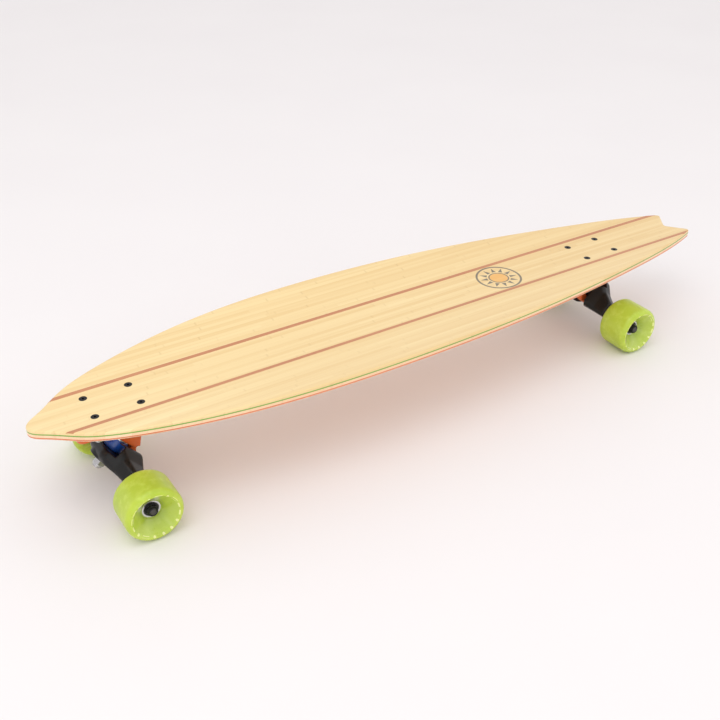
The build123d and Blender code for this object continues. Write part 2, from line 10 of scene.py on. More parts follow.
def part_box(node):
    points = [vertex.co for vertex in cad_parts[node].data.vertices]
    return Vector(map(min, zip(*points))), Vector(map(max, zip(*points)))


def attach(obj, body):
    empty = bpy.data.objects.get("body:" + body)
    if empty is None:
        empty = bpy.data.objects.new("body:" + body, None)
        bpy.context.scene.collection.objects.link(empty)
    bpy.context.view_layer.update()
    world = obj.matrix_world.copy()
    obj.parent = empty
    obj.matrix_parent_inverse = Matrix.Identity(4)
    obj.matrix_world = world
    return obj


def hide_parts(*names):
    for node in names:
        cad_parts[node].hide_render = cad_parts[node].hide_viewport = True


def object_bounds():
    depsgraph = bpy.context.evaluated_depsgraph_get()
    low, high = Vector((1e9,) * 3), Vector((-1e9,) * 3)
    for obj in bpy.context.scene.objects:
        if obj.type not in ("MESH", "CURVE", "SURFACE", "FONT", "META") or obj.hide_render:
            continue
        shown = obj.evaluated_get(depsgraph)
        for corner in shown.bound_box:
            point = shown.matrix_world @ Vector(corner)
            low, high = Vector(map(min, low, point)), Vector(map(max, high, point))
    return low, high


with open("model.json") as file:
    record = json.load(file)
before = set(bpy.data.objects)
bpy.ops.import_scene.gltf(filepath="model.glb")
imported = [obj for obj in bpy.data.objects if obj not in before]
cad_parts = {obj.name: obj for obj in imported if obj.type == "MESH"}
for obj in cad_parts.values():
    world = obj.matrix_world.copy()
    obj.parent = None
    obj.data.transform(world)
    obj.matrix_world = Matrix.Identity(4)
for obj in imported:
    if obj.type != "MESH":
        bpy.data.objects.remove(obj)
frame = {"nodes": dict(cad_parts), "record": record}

mm = 0.001
cad_low, cad_high = [[float(v) for v in corner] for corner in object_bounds()]
nodes = frame["nodes"]
ends = {"front": 1.0, "rear": -1.0}
sides = {"left": 1.0, "right": -1.0}


def corners(node):
    """Lowest and highest corner of a frame node as arrays of metres."""
    low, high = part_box(node)
    return np.array([float(v) for v in low]), np.array([float(v) for v in high])


# ------------------------------------------------------------------ finishes


class Num:
    """A number inside a material. Each sum written on it adds one Math node, and a mask is a number
    from 0 to 1."""

    def __init__(self, finish, socket):
        self.finish = finish
        self.socket = socket

    def sum(self, operation, *others, swap=False):
        values = [self, *others]
        if swap:
            values.reverse()
        node = self.finish.node("ShaderNodeMath", {"operation": operation}, dict(enumerate(values)))
        return Num(self.finish, node.outputs[0])

    def __add__(self, other):
        return self.sum("ADD", other)

    __radd__ = __add__

    def __sub__(self, other):
        return self.sum("SUBTRACT", other)

    def __rsub__(self, other):
        return self.sum("SUBTRACT", other, swap=True)

    def __mul__(self, other):
        return self.sum("MULTIPLY", other)

    __rmul__ = __mul__

    def __truediv__(self, other):
        return self.sum("DIVIDE", other)

    def __pow__(self, other):
        return self.sum("POWER", other)

    def __abs__(self):
        return self.sum("ABSOLUTE")

    def floor(self):
        return self.sum("FLOOR")

    def fract(self):
        return self.sum("FRACT")

    def most(self, other):
        return self.sum("MAXIMUM", other)

    def below(self, edge, soft):
        """1 where the number is under edge and 0 over it, with a soft step."""
        return self.fade(edge + soft, edge - soft)

    def fade(self, start, stop):
        """0 at start and 1 at stop, smooth between."""
        node = self.finish.node(
            "ShaderNodeMapRange",
            {"interpolation_type": "SMOOTHSTEP"},
            {"Value": self, "From Min": start, "From Max": stop},
        )
        return Num(self.finish, node.outputs["Result"])


class Finish:
    """One material, with one method that adds any node."""

    def __init__(self, name):
        self.material = bpy.data.materials.new(name)
        self.material.use_nodes = True
        self.tree = self.material.node_tree
        self.shader = self.tree.nodes["Principled BSDF"]

    def feed(self, socket, value):
        """Links a number or a socket to a socket, or sets a plain value on it."""
        if isinstance(value, Num):
            value = value.socket
        if isinstance(value, bpy.types.NodeSocket):
            self.tree.links.new(value, socket)
        else:
            socket.default_value = value

    def node(self, kind, settings=(), inputs=()):
        """Adds a node of a type: its settings first, such as a ramp's stops, then its sockets."""
        node = self.tree.nodes.new(kind)
        for key, value in dict(settings).items():
            if key == "stops":
                ramp = node.color_ramp.elements
                while len(ramp) < len(value):
                    ramp.new(0.5)
                for element, (place, tint) in zip(ramp, value):
                    element.position = place
                    element.color = tint
            else:
                setattr(node, key, value)
        for key, value in dict(inputs).items():
            self.feed(node.inputs[key], value)
        return node

    def place(self, stretch=(1.0, 1.0, 1.0)):
        """Object coordinates in metres, multiplied along each axis."""
        coordinates = self.node("ShaderNodeTexCoord").outputs["Object"]
        mapping = self.node("ShaderNodeMapping", {}, {"Vector": coordinates, "Scale": stretch})
        return mapping.outputs["Vector"]

    def xyz(self, vector):
        """The three parts of a vector as numbers."""
        parts = self.node("ShaderNodeSeparateXYZ", {}, {0: vector}).outputs
        return [Num(self, part) for part in parts]

    def noise(self, vector, scale=1.0, detail=3.0, roughness=0.5):
        """Smooth noise from 0 to 1 at a place."""
        sockets = {"Vector": vector, "Scale": scale, "Detail": detail, "Roughness": roughness}
        node = self.node("ShaderNodeTexNoise", {}, sockets)
        return Num(self, node.outputs[0])

    def chance(self, number):
        """A number from 0 to 1 drawn afresh for each whole number."""
        node = self.node("ShaderNodeTexWhiteNoise", {"noise_dimensions": "1D"}, {"W": number})
        return Num(self, node.outputs["Value"])

    def mix(self, share, first, second):
        """The first colour, going over to the second as the share goes from 0 to 1."""
        node = self.node("ShaderNodeMix", {"data_type": "RGBA"}, {0: share, 6: first, 7: second})
        return node.outputs[2]

    def ramp(self, number, *stops):
        """A colour picked by a number between stops of place and colour."""
        return self.node("ShaderNodeValToRGB", {"stops": stops}, {0: number}).outputs[0]

    def bump(self, height, strength, distance):
        """A bumped normal from a height from 0 to 1, and its depth in metres."""
        node = self.node(
            "ShaderNodeBump", {}, {"Height": height, "Strength": strength, "Distance": distance}
        )
        return node.outputs["Normal"]

    def shade(self, **sockets):
        """Sets the shader's sockets; an underscore in a name stands for a space."""
        for key, value in sockets.items():
            self.feed(self.shader.inputs[key.replace("_", " ")], value)
        return self.material


black = (0.0, 0.0, 0.0, 1.0)
white = (1.0, 1.0, 1.0, 1.0)


def colour(red, green, blue):
    """A screen colour from 0 to 255 as linear light."""
    parts = [v / 255 for v in (red, green, blue)]
    light = [((v + 0.055) / 1.055) ** 2.4 if v > 0.04 else v / 12.92 for v in parts]
    return (*light, 1.0)


def between(first, second, share):
    """A colour part of the way from one to another, worked out in Python."""
    return tuple(a + (b - a) * share for a, b in zip(first, second))


def emblem(finish, x, y, middle):
    """The plain sun mark as two masks: its ink, which is a ring, rays and an outline, then its disc.

    Measures are in mark units, from the middle. A ray stands in the middle of each equal share of a
    turn, and its half width shrinks as the distance grows.
    """
    unit = 0.72 * mm
    rays = 12.0
    across = (x - middle[0]) / unit
    up = (y - middle[1]) / unit
    distance = (across * across + up * up) ** 0.5
    ring = abs(distance - 43.0).below(2.0, 0.4)
    outline_mask = abs(distance - 19.0).below(1.3, 0.3)
    ray_turn = across.sum("ARCTAN2", up) * (rays / (2.0 * math.pi))
    aside = abs(ray_turn.fract() - 0.5) * distance * (2.0 * math.pi / rays)
    ray = (aside + 0.3 * distance).below(11.4, 0.3) * distance.fade(23.0, 23.8)
    return ring.most(outline_mask).most(ray), distance.below(18.5, 0.4)


strip_width = 0.0058        # metres, one slat of the bamboo
slat_length = 0.31
knuckle_gap = 0.155         # metres between the stem's joints along a slat
strip_count = 900.0         # a whole number of slats that keeps the count above nought


def bamboo(name, pale, tan, marked=None):
    """Narrow lengthwise strips, each a little lighter or darker, with fine streaks and knuckles.

    Marked is where the middle of the printed mark is, for the face that has it.
    """
    finish = Finish(name)
    x, y, _ = finish.xyz(finish.place())
    slat = y / strip_width + strip_count
    strip = slat.floor()
    strip_tone = finish.chance(strip)
    shift = finish.chance(strip + 0.5)
    board = (x / slat_length + shift * 9.0).floor()
    board_tone = finish.chance(strip * 13.0 + board)
    fibre = finish.noise(finish.place((5.0, 900.0, 900.0)), 1.0, 4.0, 0.6)
    streak = finish.noise(finish.place((2.2, 150.0, 150.0)), 1.0, 3.0, 0.55)
    cloud = finish.noise(finish.place((2.0, 6.0, 6.0)), 1.0, 2.0)
    knuckle = abs((x / knuckle_gap + shift * 5.0).fract() - 0.5).below(0.006, 0.006)
    seam = abs(slat.fract() - 0.5).fade(0.462, 0.5)
    length = x.fade(-0.5, 0.5)
    tone = 0.30 * strip_tone + 0.22 * board_tone
    tone = tone + 0.62 * (streak - 0.5) + 0.5 * (fibre - 0.5) + 0.55 * (cloud - 0.5)
    tone = tone + 0.34 * (1.0 - length) + 0.10
    base = finish.ramp(tone, (0.0, pale), (0.5, between(pale, tan, 0.5)), (1.0, tan))
    darker = between(tan, (0.16, 0.07, 0.02, 1.0), 0.35)
    base = finish.mix(0.32 * knuckle * shift, base, darker)
    base = finish.mix(0.22 * seam, base, darker)
    if marked is not None:
        ink, disc = emblem(finish, x, y, marked)
        base = finish.mix(0.7 * disc, base, colour(236, 168, 58))
        base = finish.mix(0.84 * ink, base, colour(74, 73, 72))
    height = 0.6 * fibre + 0.4 * streak - 0.5 * seam
    return finish.shade(
        Base_Color=base,
        Roughness=0.30 + 0.16 * fibre,
        Normal=finish.bump(height, 0.25, 0.0004),
        Coat_Weight=0.35,
        Coat_Roughness=0.18,
    )


def veneer(name, light, dark):
    """Sliced wood: long grain lines that wander, finer pores and a thin lacquer."""
    finish = Finish(name)
    wander = finish.noise(finish.place((4.0, 30.0, 30.0)), 1.0, 2.0)
    lines = finish.noise(finish.place((7.0, 420.0, 420.0)), 1.0, 4.0, 0.62)
    pores = finish.noise(finish.place((90.0, 1500.0, 1500.0)), 1.0, 2.0)
    tone = 0.5 + 0.7 * (lines - 0.5) + 0.6 * (wander - 0.5)
    base = finish.mix(tone, light, dark)
    base = finish.mix(0.35 * pores.fade(0.56, 0.74), base, between(dark, black, 0.45))
    return finish.shade(
        Base_Color=base,
        Roughness=0.36 + 0.2 * lines,
        Normal=finish.bump(lines - pores * 0.3, 0.25, 0.0003),
        Coat_Weight=0.3,
        Coat_Roughness=0.2,
    )


def cast_paint(name, base, dark, rough, coat):
    """Powder coat on cast metal: fine orange peel, soft cloudiness, slightly rubbed high spots."""
    finish = Finish(name)
    peel = finish.noise(finish.place(), 900.0, 2.0)
    cloud = finish.noise(finish.place(), 45.0, 3.0)
    speck = finish.noise(finish.place(), 2600.0, 1.0).fade(0.66, 0.78)
    tone = finish.mix(cloud, base, dark)
    tone = finish.mix(0.25 * speck, tone, between(base, white, 0.12))
    return finish.shade(
        Base_Color=tone,
        Roughness=rough + 0.14 * (cloud - 0.5) + 0.1 * (peel - 0.5),
        Normal=finish.bump(peel + 0.6 * cloud, 0.22, 0.0003),
        Specular_IOR_Level=0.3,
        Coat_Weight=coat,
        Coat_Roughness=0.12,
    )


def steel(name, base, rough, metallic=1.0):
    """Turned or plated steel: fine lines left by the tool, a faint bloom and small dull spots."""
    finish = Finish(name)
    lines = finish.noise(finish.place((60.0, 60.0, 900.0)), 1.0, 3.0, 0.6)
    bloom = finish.noise(finish.place(), 220.0, 3.0)
    spots = finish.noise(finish.place(), 1400.0, 2.0).fade(0.62, 0.74)
    tone = finish.mix(0.55 * bloom, base, between(base, black, 0.35))
    tone = finish.mix(0.3 * spots, tone, between(base, (0.1, 0.09, 0.08, 1.0), 0.6))
    return finish.shade(
        Base_Color=tone,
        Metallic=metallic,
        Roughness=rough + 0.18 * (lines - 0.5) + 0.16 * spots,
        Normal=finish.bump(lines, 0.15, 0.0001),
    )


def rubber(name, base, dark, rough, coat=0.0):
    """Moulded rubber or urethane: a soft even skin with fine mottling and faint moulding lines."""
    finish = Finish(name)
    mottle = finish.noise(finish.place(), 160.0, 3.0)
    skin = finish.noise(finish.place(), 1500.0, 2.0)
    tone = finish.mix(mottle, base, dark)
    return finish.shade(
        Base_Color=tone,
        Roughness=rough + 0.15 * (mottle - 0.5) + 0.1 * (skin - 0.5),
        Normal=finish.bump(skin + mottle, 0.15, 0.0002),
        Coat_Weight=coat,
        Coat_Roughness=0.2,
    )


map_radius = 50.0           # mm, the radius that stands at 1 in the wheel's map
mark_radius = 27.6          # mm, middle of the printed ring
mark_count = 16.0           # equal cells round the wheel, each with one mark


def wheel_urethane():
    """Clear-cast lime urethane: deeper in the core, milky at the rims, with a printed ring of dashes,
    double lines and dots.

    The piece's own map holds turns round the wheel in u and the radius over map_radius in v.
    """
    finish = Finish("wheel_urethane")
    mapped = finish.node("ShaderNodeUVMap", {"uv_map": "face"}).outputs[0]
    turn, reach, _ = finish.xyz(mapped)
    radius = reach * map_radius
    cell = turn * mark_count
    along = abs(cell.fract() - 0.5)
    off_ring = abs(radius - mark_radius)
    arc = along * (2.0 * math.pi * mark_radius / mark_count)
    kind = finish.chance(cell.floor())
    dash = along.below(0.30, 0.02) * off_ring.below(0.8, 0.15)
    thin = along.below(0.40, 0.02) * abs(off_ring - 1.1).below(0.3, 0.12)
    dot = (arc**2.0 + off_ring**2.0).below(2.6, 0.5)
    marks = (kind.below(0.4, 0.001) * dash).most(kind.fade(0.399, 0.401) * kind.below(0.7, 0.001) * dot)
    marks = marks.most(kind.fade(0.699, 0.701) * thin)
    depth = finish.noise(finish.place(), 26.0, 3.0)
    swirl = finish.noise(finish.place(), 95.0, 3.0, 0.6)
    grind = finish.noise(finish.place((120.0, 1800.0, 120.0)), 1.0, 2.0)
    tone = finish.mix(depth, colour(196, 214, 72), colour(164, 188, 44))
    tone = finish.mix(0.5 * swirl.fade(0.45, 0.75), tone, colour(208, 224, 104))
    core = radius.below(17.5, 2.5) * radius.fade(2.0, 4.0)
    tone = finish.mix(0.35 * core, tone, colour(160, 186, 40))
    tone = finish.mix(0.8 * marks, tone, colour(240, 243, 172))
    return finish.shade(
        Base_Color=tone,
        Roughness=0.24 + 0.2 * grind * (1.0 - reach.below(0.66, 0.02)) + 0.1 * swirl,
        Normal=finish.bump(0.5 * grind + swirl, 0.2, 0.0003),
        Subsurface_Weight=0.45,
        Subsurface_Radius=(0.9, 1.0, 0.25),
        Subsurface_Scale=0.012,
        Coat_Weight=0.15 + 0.75 * reach.below(0.57, 0.01),
        Coat_Roughness=0.1,
    )


def floor_finish():
    """Smooth pale paper, almost white, with a very faint mottle."""
    finish = Finish("studio_floor")
    mottle = finish.noise(finish.place(), 3.0, 3.0)
    tone = finish.mix(mottle, (0.86, 0.83, 0.835, 1.0), (0.89, 0.865, 0.865, 1.0))
    return finish.shade(Base_Color=tone, Roughness=0.75)


rear_pattern = corners("rear_deck_bolts")
mark_ahead = 0.175          # metres, the mark's middle ahead of the rear bolts' middle
mark_middle = ((rear_pattern[0][0] + rear_pattern[1][0]) / 2 + mark_ahead, 0.0)

finishes = {
    "bamboo_face": bamboo("bamboo_face", colour(246, 222, 166), colour(226, 190, 126), mark_middle),
    "stringer_wood": veneer("stringer_wood", colour(212, 148, 102), colour(178, 108, 68)),
    "green_veneer": veneer("green_veneer", colour(146, 184, 82), colour(94, 152, 42)),
    "bamboo_core": bamboo("bamboo_core", colour(252, 222, 182), colour(240, 192, 146)),
    "red_veneer": veneer("red_veneer", colour(236, 140, 98), colour(206, 100, 64)),
    "bamboo_back": bamboo("bamboo_back", colour(250, 216, 184), colour(238, 192, 152)),
    "riser_rubber": rubber("riser_rubber", colour(44, 43, 44), colour(28, 28, 29), 0.6),
    "baseplate_paint": cast_paint("baseplate_paint", colour(228, 112, 52), colour(206, 88, 36), 0.36, 0.4),
    "cup_urethane": rubber("cup_urethane", colour(40, 40, 42), colour(24, 24, 26), 0.5),
    "bright_steel": steel("bright_steel", colour(196, 196, 198), 0.28),
    "axle_steel": steel("axle_steel", colour(92, 90, 90), 0.4),
    "black_steel": steel("black_steel", colour(44, 43, 45), 0.36, metallic=0.7),
    "bushing_urethane": rubber("bushing_urethane", colour(36, 96, 196), colour(20, 62, 150), 0.32, 0.3),
    "hanger_paint": cast_paint("hanger_paint", colour(20, 19, 19), colour(11, 11, 11), 0.38, 0.12),
    "bearing_steel": steel("bearing_steel", colour(214, 214, 216), 0.2),
    "wheel_urethane": wheel_urethane(),
    "shield_black": rubber("shield_black", colour(34, 33, 34), colour(20, 20, 21), 0.4),
}

slots = {row["node"]: row["material_slot"] for row in frame["record"]["subparts"]}
for node_name, node_object in nodes.items():
    if node_name in slots:
        node_object.data.materials.clear()
        finish_name = "axle_steel" if node_name.endswith("stub_axles") else slots[node_name]
        node_object.data.materials.append(finishes[finish_name])

# ------------------------------------------------------------------ pieces


def settle(piece, body, replaced, sharp):
    """Gives a finished piece its material and body, hides the frame nodes it replaces, and gives it smooth
    faces with an edge kept wherever two faces meet at more than sharp degrees."""
    slot_name = slots[replaced[0]]
    mesh = piece.data
    mesh.materials.clear()
    mesh.materials.append(finishes[slot_name])
    mesh.polygons.foreach_set("use_smooth", np.ones(len(mesh.polygons), dtype=bool))
    mesh.set_sharp_from_angle(angle=math.radians(sharp))
    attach(piece, body)
    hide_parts(*replaced)
    return piece


def link(name, mesh):
    """A new object with a mesh, at the origin."""
    piece = bpy.data.objects.new(name, mesh)
    bpy.context.collection.objects.link(piece)
    return piece


def apply_modifiers(piece):
    """Takes a piece's modifiers up into its mesh and clears them."""
    bpy.context.view_layer.update()
    mesh = bpy.data.meshes.new_from_object(piece.evaluated_get(bpy.context.evaluated_depsgraph_get()))
    piece.modifiers.clear()
    piece.data = mesh


def weld(mesh, distance=0.00002, turn_out=True):
    """Merges doubled corners at seams and poles, drops empty faces and turns every face outwards."""
    work = bmesh.new()
    work.from_mesh(mesh)
    bmesh.ops.remove_doubles(work, verts=work.verts, dist=distance)
    bmesh.ops.dissolve_degenerate(work, edges=work.edges, dist=distance / 10)
    if turn_out:
        bmesh.ops.recalc_face_normals(work, faces=work.faces)
    work.to_mesh(mesh)
    work.free()


def grid_mesh(name, grids, wrap_rows=False, wrap_columns=False, uv=None):
    """A mesh of one or more grids of points, each an array of rows, columns and x, y, z.

    Neighbours in a grid are joined by four-sided faces. A wrapped direction joins its last line to
    its first.
    """
    points = []
    faces = []
    start = 0
    for grid in grids:
        rows, columns = grid.shape[:2]
        index = start + np.arange(rows * columns).reshape(rows, columns)
        if wrap_rows:
            index = np.vstack([index, index[:1]])
        if wrap_columns:
            index = np.hstack([index, index[:, :1]])
        quads = np.stack([index[:-1, :-1], index[:-1, 1:], index[1:, 1:], index[1:, :-1]], axis=-1)
        points.append(grid.reshape(-1, 3))
        faces.append(quads.reshape(-1, 4))
        start += rows * columns
    points = np.concatenate(points)
    faces = np.concatenate(faces)
    mesh = bpy.data.meshes.new(name)
    mesh.from_pydata(points.tolist(), [], faces.tolist())
    if uv is not None:
        layer = mesh.uv_layers.new(name="face")
        flat = uv.reshape(-1, 2)[faces.reshape(-1)].copy()
        turns = flat[:, 0].reshape(-1, 4)
        # a face that crosses the seam keeps counting up instead of running back round the wheel
        turns[(turns.max(axis=1) - turns.min(axis=1) > 0.5)[:, None] & (turns < 0.5)] += 1.0
        flat[:, 0] = turns.reshape(-1)
        layer.data.foreach_set("uv", flat.reshape(-1).astype(np.float32))
    return mesh


def turned_piece(name, grids, body, node):
    """A piece made of closed grids, each wrapped both ways, that stands for one frame node."""
    mesh = grid_mesh(node, grids, wrap_rows=True, wrap_columns=True)
    weld(mesh)
    return settle(link(name, mesh), body, [node], 30.0)


def axis_frame(direction):
    """Two unit directions square to a unit direction and to each other."""
    direction = np.array(direction, dtype=float)
    direction = direction / np.linalg.norm(direction)
    aside = np.array([0.0, 1.0, 0.0]) if abs(direction[1]) < 0.9 else np.array([1.0, 0.0, 0.0])
    first = np.cross(aside, direction)
    first = first / np.linalg.norm(first)
    return direction, first, np.cross(direction, first)


def turned(centre, direction, profile, steps=96):
    """A closed profile of radius and height pairs, in mm, turned about an axis: the point is the
    centre plus height along the axis plus radius times the cosine and sine of the turn."""
    axis, first, second = axis_frame(direction)
    angle = np.linspace(0.0, 2 * math.pi, steps, endpoint=False)
    profile = np.array(profile, dtype=float) * mm
    spoke = np.cos(angle)[:, None] * first + np.sin(angle)[:, None] * second
    return (
        np.array(centre)
        + profile[:, 1][:, None, None] * axis
        + profile[:, 0][:, None, None] * spoke[None, :, :]
    )


def eased(points, radius, steps=4):
    """A closed profile with each corner cut by a small quarter curve: the corner point is replaced
    by points on a quadratic curve that starts and ends the given distance from it."""
    points = np.array(points, dtype=float)
    before = np.roll(points, 1, axis=0) - points
    after = np.roll(points, -1, axis=0) - points
    room = np.minimum(np.linalg.norm(before, axis=1), np.linalg.norm(after, axis=1)) * 0.45
    cut = np.minimum(radius, room)[:, None]
    before = before / np.linalg.norm(before, axis=1)[:, None] * cut
    after = after / np.linalg.norm(after, axis=1)[:, None] * cut
    share = np.linspace(0.0, 1.0, steps)[None, :, None]
    curve = points[:, None] + before[:, None] * (1 - share) ** 2 + after[:, None] * share**2
    return curve.reshape(-1, 2)


def nut_grid(centre, direction, flats, length, bore, collar, steps=144):
    """A lock nut about an axis. The radius of the body is the smaller of the hexagon's, flats over
    twice the cosine of the angle from the nearest flat, and a cone that trims the corners at each
    end; a round collar stands on the outer third."""
    axis, first, second = axis_frame(direction)
    angle = np.linspace(0.0, 2 * math.pi, steps, endpoint=False)
    body = length * 0.68
    hexagon = flats / 2 / np.cos((angle % (math.pi / 3)) - math.pi / 6)
    near_end = np.array([0.0, 0.12, 0.35, 0.7, 1.2])
    heights = np.concatenate([near_end, [body / 2], body - near_end[::-1]])
    trim = flats / 2 * 0.97 + 1.9 * np.minimum(heights, body - heights)
    rows = [np.full(steps, bore), np.full(steps, bore + 0.5)]
    levels = [0.6, 0.0]
    for height, limit in zip(heights, trim):
        rows.append(np.minimum(hexagon, limit))
        levels.append(height)
    collar_profile = (
        (collar, body),
        (collar, length - 1.0),
        (collar - 0.3, length - 0.4),
        (collar - 0.9, length),
        (bore + 0.3, length),
        (bore, length - 0.4),
    )
    for radius, height in collar_profile:
        rows.append(np.full(steps, radius))
        levels.append(height)
    radii = np.array(rows) * mm
    levels = np.array(levels) * mm
    spoke = np.cos(angle)[:, None] * first + np.sin(angle)[:, None] * second
    return np.array(centre) + levels[:, None, None] * axis + radii[:, :, None] * spoke[None]


# -------------------------------------------------------------------- deck

deck_low, deck_high = corners("top_ply")
half_length = (deck_high[0] - deck_low[0]) / 2 / mm
half_width = (deck_high[1] - deck_low[1]) / 2 / mm
curl_radius = 592.0
ply_table = {"top_ply": 3.6, "green_ply": 1.6, "core_ply": 3.4, "red_ply": 1.6, "bottom_ply": 1.8}
deck_thickness = sum(ply_table.values())
deck_bottom_middle = corners("bottom_ply")[0][2] / mm
deck_top_middle = deck_bottom_middle + deck_thickness
tip_y = 29.0                # middle of each tail tip's round, from the middle line
tip_round = 5.0
notch_depth = 20.0
notch_round = 6.0
side_angle = math.radians(21.0)   # the rail's slant where it leaves the tip
top_round = 2.2             # the rail's upper and lower rounds
bottom_round = 2.4
spine_tail = 26.0           # the shells' middle line stops this far inside the notch
spine_nose = 32.0           # and this far inside the nose
bolt_head_r = 4.7
bolt_hole_r = 4.82
bolt_hole_depth = 2.7
stringer_inner = 33.2       # the strip's edges, from the middle line
stringer_outer = 38.8
stringer_depth = 0.9
stringer_proud = 0.05


def smooth_curve(points, start, stop, steps):
    """A cubic curve through points, with given unit directions at its ends: the slopes at the points
    solve the usual tridiagonal equations on chord length, then each span is a Hermite cubic."""
    points = np.array(points)
    knots = np.concatenate([[0.0], np.cumsum(np.linalg.norm(np.diff(points, axis=0), axis=1))])
    gap = np.diff(knots)
    count = len(points)
    system = np.eye(count)
    right = np.zeros((count, 2))
    right[0], right[-1] = start, stop
    inner = np.arange(1, count - 1)
    system[inner, inner - 1] = gap[1:]
    system[inner, inner] = 2 * (gap[:-1] + gap[1:])
    system[inner, inner + 1] = gap[:-1]
    slope = np.diff(points, axis=0) / gap[:, None]
    right[1:-1] = 3 * (slope[:-1] * gap[1:, None] + slope[1:] * gap[:-1, None])
    slopes = np.linalg.solve(system, right)
    # finer steps towards the far end, where the nose turns tightly
    places = knots[-1] * (1 - (1 - np.linspace(0.0, 1.0, steps)) ** 1.6)
    span = np.clip(np.searchsorted(knots, places, side="right") - 1, 0, count - 2)
    u = ((places - knots[span]) / gap[span])[:, None]
    h = gap[span][:, None]
    return (
        (1 + 2 * u) * (1 - u) ** 2 * points[span]
        + u * (1 - u) ** 2 * h * slopes[span]
        + u**2 * (3 - 2 * u) * points[span + 1]
        + u**2 * (u - 1) * h * slopes[span + 1]
    )


def deck_outline():
    """The left half of the outline in mm, from the middle of the nose to the middle of the notch."""
    # shares of the half length and the half width, from the tail to the nose
    shape = [(-0.70, 0.610), (-0.30, 0.883), (0.18, 1.0), (0.50, 0.921)]
    shape += [(0.80, 0.605), (0.90, 0.397), (0.966, 0.170)]
    tip_x = tip_round - half_length
    notch_x = notch_depth - half_length
    turn = math.pi / 2 + side_angle
    tip_side = (tip_x + tip_round * math.cos(turn), tip_y + tip_round * math.sin(turn))
    points = [tip_side, *[(u * half_length, v * half_width) for u, v in shape], (half_length, 0.0)]
    side = smooth_curve(points, (math.cos(side_angle), math.sin(side_angle)), (0.0, -1.0), 420)[::-1]
    reach = math.hypot(tip_x - notch_x, tip_y)
    line_angle = math.atan2(tip_y, tip_x - notch_x) + math.asin(tip_round / reach)
    arc = np.linspace(turn, line_angle + math.pi / 2, 22)[1:]
    tip = np.stack([tip_x + tip_round * np.cos(arc), tip_y + tip_round * np.sin(arc)], axis=1)
    half = math.pi - line_angle
    round_x = notch_x - notch_round / math.sin(half)
    arc = np.linspace(math.pi / 2 - half, 0.0, 12)
    notch = np.stack([round_x + notch_round * np.cos(arc), notch_round * np.sin(arc)], axis=1)
    share = np.linspace(0.0, 1.0, 12)[1:-1, None]
    line = tip[-1] * (1 - share) + notch[0] * share
    return np.concatenate([side, tip, line, notch])


outline = deck_outline()
outline[:, 0] = np.clip(outline[:, 0], -half_length, half_length)
outline[:, 1] = np.clip(outline[:, 1], 0.0, half_width)
step = np.gradient(outline, axis=0)
outward = np.stack([-step[:, 1], step[:, 0]], axis=1)
outward = -outward / np.linalg.norm(outward, axis=1)[:, None]
if outward[len(outward) // 2, 1] < 0:
    outward = -outward
outward[0], outward[-1] = (1.0, 0.0), (-1.0, 0.0)
spine_x = np.clip(outline[:, 0], outline[-1, 0] + spine_tail, half_length - spine_nose)
spine = np.stack([spine_x, np.zeros(len(outline))], axis=1)


def rail_inset(depth):
    """How far the rounded rail stands in from the outline at a depth below the top face, in mm."""
    depth = np.asarray(depth, dtype=float)
    over = np.clip(top_round - depth, 0.0, top_round)
    under = np.clip(depth - (deck_thickness - bottom_round), 0.0, bottom_round)
    return (
        top_round - np.sqrt(top_round**2 - over**2) + bottom_round - np.sqrt(bottom_round**2 - under**2)
    )


def curl(y):
    """Height of the curled top face in mm: the middle, plus the rise of a circle across the board."""
    return deck_top_middle + curl_radius - np.sqrt(curl_radius**2 - y**2)


def ply_mesh(name, depth, thickness, across, down):
    """One layer as a closed shell: its top face from the spine out to the rail, the rail's curve down
    to its lower face, and that face back to the spine. Every point is the spine point plus a share of
    the way to the outline, drawn in by the rail's inset, at the curl's height less its depth."""
    shares = np.linspace(0.0, 1.0, across)
    depths = depth + thickness * (1 - np.cos(np.linspace(0.0, math.pi, down))) / 2
    rows = [(share, depth) for share in shares[:-1]]
    rows += [(1.0, d) for d in depths]
    rows += [(share, depth + thickness) for share in shares[::-1][1:]]
    share = np.array([row[0] for row in rows])[:, None, None]
    level = np.array([row[1] for row in rows])
    inset = rail_inset(level)[:, None, None]
    edge = outline[None] - outward[None] * inset
    flat = spine[None] * (1 - share) + edge * share
    height = curl(flat[..., 1]) - level[:, None]
    grid = np.concatenate([flat, height[..., None]], axis=2) * mm
    mirrored = grid[:, ::-1] * np.array([1.0, -1.0, 1.0])
    mesh = grid_mesh(name, [grid, mirrored])
    weld(mesh, 0.00001)
    return mesh


def bolt_places():
    """The middles of the eight truck bolts, from the boxes that hold each set of four."""
    places = []
    for end in ends:
        low, high = corners(f"{end}_deck_bolts")
        reach = bolt_head_r * mm
        for x in (low[0] + reach, high[0] - reach):
            for y in (low[1] + reach, high[1] - reach):
                places.append((x, y, high[2]))
    return places


def cut_bolt_holes(piece):
    """Takes a round hole for each bolt head out of the top layer."""
    grids = []
    for x, y, z in bolt_places():
        profile = [(0.0, 3.0), (bolt_hole_r, 3.0), (bolt_hole_r, -bolt_hole_depth), (0.0, -bolt_hole_depth)]
        grids.append(turned((x, y, z), (0.0, 0.0, 1.0), profile, 40))
    mesh = grid_mesh("bolt_holes", grids, wrap_columns=True)
    weld(mesh)
    cutter = link("bolt_holes", mesh)
    cut = piece.modifiers.new("holes", "BOOLEAN")
    cut.object = cutter
    cut.operation = "DIFFERENCE"
    cut.solver = "EXACT"
    apply_modifiers(piece)
    bpy.data.objects.remove(cutter)


